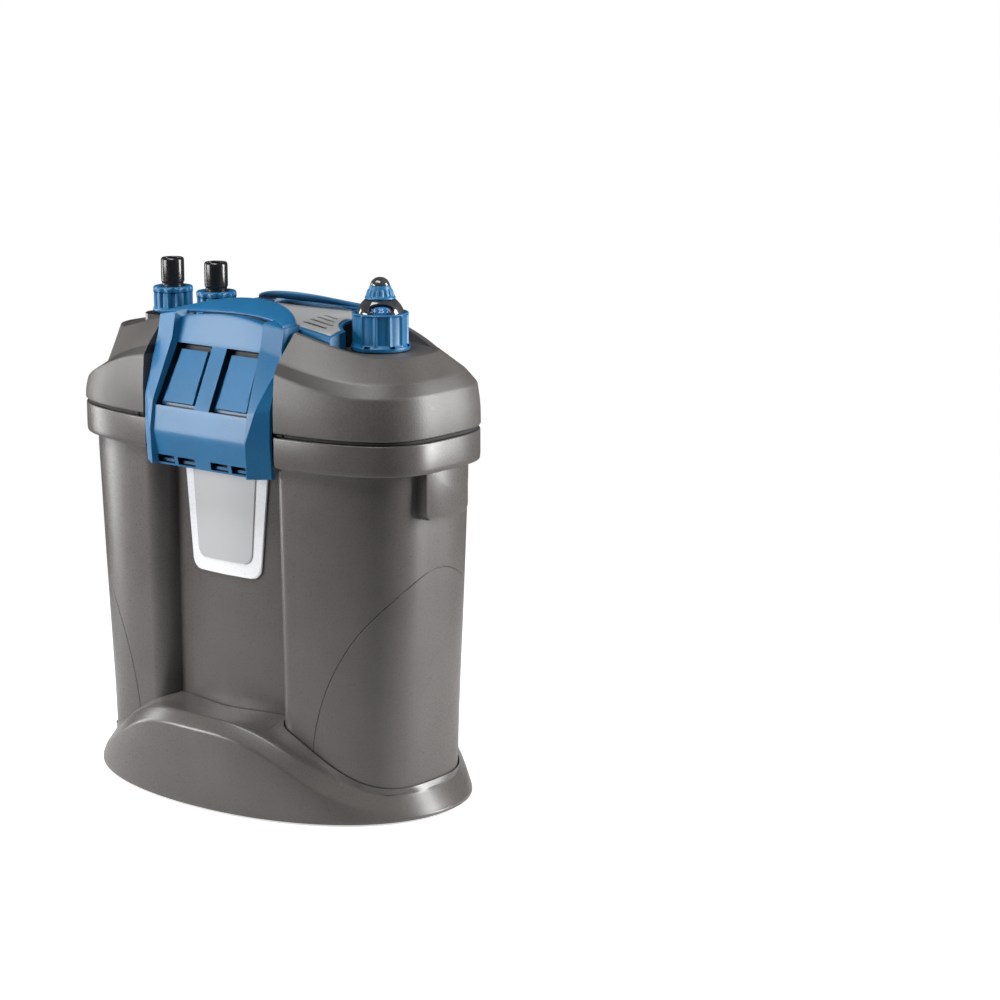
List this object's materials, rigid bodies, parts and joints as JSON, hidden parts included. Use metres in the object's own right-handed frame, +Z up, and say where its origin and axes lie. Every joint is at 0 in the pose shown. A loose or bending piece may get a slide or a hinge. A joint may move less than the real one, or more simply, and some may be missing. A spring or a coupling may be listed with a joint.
{
  "type": "canister filter",
  "caption": "Upright aquarium canister filter: oval tank in a flared foot, lid with two swing latches and arched handles, plug-in heater and two hose connectors.",
  "frame": {"origin": "middle of the base, on the plane the rubber feet stand on", "axes": "+X along the filter towards the heater, -Y out of the front with the label, +Z up"},
  "size_m": [0.319, 0.2044, 0.3754],
  "materials": {
    "brown_plastic": "fine satin grain",
    "blue_plastic": "satin",
    "black_plastic": "satin",
    "grey_plastic": "satin",
    "black_rubber": "matt",
    "white_plate": "smooth",
    "pale_plate": "smooth",
    "dome_gloss": "polished",
    "dial_blue": "satin with plain white numbers",
    "steel": "ground",
    "titanium": "satin",
    "ceramic": "polished ceramic",
    "magnet": "bonded ferrite, satin",
    "basket_plastic": "satin",
    "filter_foam": "open-cell foam"
  },
  "bodies": {
    "filter": {"tank": "brown_plastic", "base_foot": "brown_plastic", "rubber_foot_front_left": "black_rubber", "rubber_foot_front_right": "black_rubber", "rubber_foot_rear_left": "black_rubber", "rubber_foot_rear_right": "black_rubber", "label_frame": "white_plate", "label_field": "pale_plate", "lid_gasket": "black_rubber", "lid_shell": "brown_plastic", "pump_cover": "grey_plastic", "heater_seal": "black_rubber", "heater_body": "black_plastic", "heater_tube": "titanium", "heating_element": "ceramic", "heater_dome": "dome_gloss", "hose_adapter": "black_plastic", "inlet_washer": "black_rubber", "outlet_washer": "black_rubber", "inlet_nipple": "black_plastic", "outlet_nipple": "black_plastic", "cable_gland": "black_rubber", "motor_housing": "black_plastic", "pump_chamber": "black_plastic", "chamber_cover": "black_plastic", "upper_bush": "black_rubber", "lower_bush": "black_rubber", "rotor_shaft": "ceramic", "riser_pipe": "black_plastic", "outlet_pipe": "black_plastic", "lower_basket": "basket_plastic", "middle_basket": "basket_plastic", "upper_basket": "basket_plastic", "lower_foam": "filter_foam", "middle_foam": "filter_foam", "upper_foam": "filter_foam", "front_hinge_pin_left": "steel", "front_hinge_pin_right": "steel", "rear_hinge_pin_left": "steel", "rear_hinge_pin_right": "steel"},
    "front_latch": {"front_latch": "blue_plastic"},
    "rear_latch": {"rear_latch": "blue_plastic"},
    "heater_cap": {"heater_cap": "blue_plastic"},
    "temperature_control": {"temperature_dial": "dial_blue", "temperature_knob": "blue_plastic", "temperature_tip": "dome_gloss"},
    "inlet_nut": {"inlet_nut": "blue_plastic"},
    "outlet_nut": {"outlet_nut": "blue_plastic"},
    "rotor": {"rotor_magnet": "magnet", "impeller": "basket_plastic"}
  },
  "joints": [
    {"name": "front_latch_swing", "type": "hinge", "parent": "filter", "child": "front_latch", "pos_m": [0, -0.0445, 0.3365], "axis": [-1, 0, 0], "range_deg": [0, 14]},
    {"name": "rear_latch_swing", "type": "hinge", "parent": "filter", "child": "rear_latch", "pos_m": [0, 0.0445, 0.3365], "axis": [1, 0, 0], "range_deg": [0, 14]},
    {"name": "heater_cap_turn", "type": "hinge", "parent": "filter", "child": "heater_cap", "pos_m": [0.0974, 0, 0.3245], "axis": [0, 0, 1], "range_deg": [0, 60]},
    {"name": "temperature_turn", "type": "hinge", "parent": "filter", "child": "temperature_control", "pos_m": [0.0974, 0, 0.3598], "axis": [0, 0, 1], "range_deg": [-130, 130]},
    {"name": "inlet_nut_turn", "type": "hinge", "parent": "filter", "child": "inlet_nut", "pos_m": [-0.103, 0, 0.3435], "axis": [0, 0, 1], "range_deg": [0, 270]},
    {"name": "outlet_nut_turn", "type": "hinge", "parent": "filter", "child": "outlet_nut", "pos_m": [-0.059, 0, 0.3435], "axis": [0, 0, 1], "range_deg": [0, 270]},
    {"name": "rotor_spin", "type": "hinge", "parent": "filter", "child": "rotor", "pos_m": [-0.008, 0, 0.312], "axis": [0, 0, 1], "continuous": true}
  ]
}
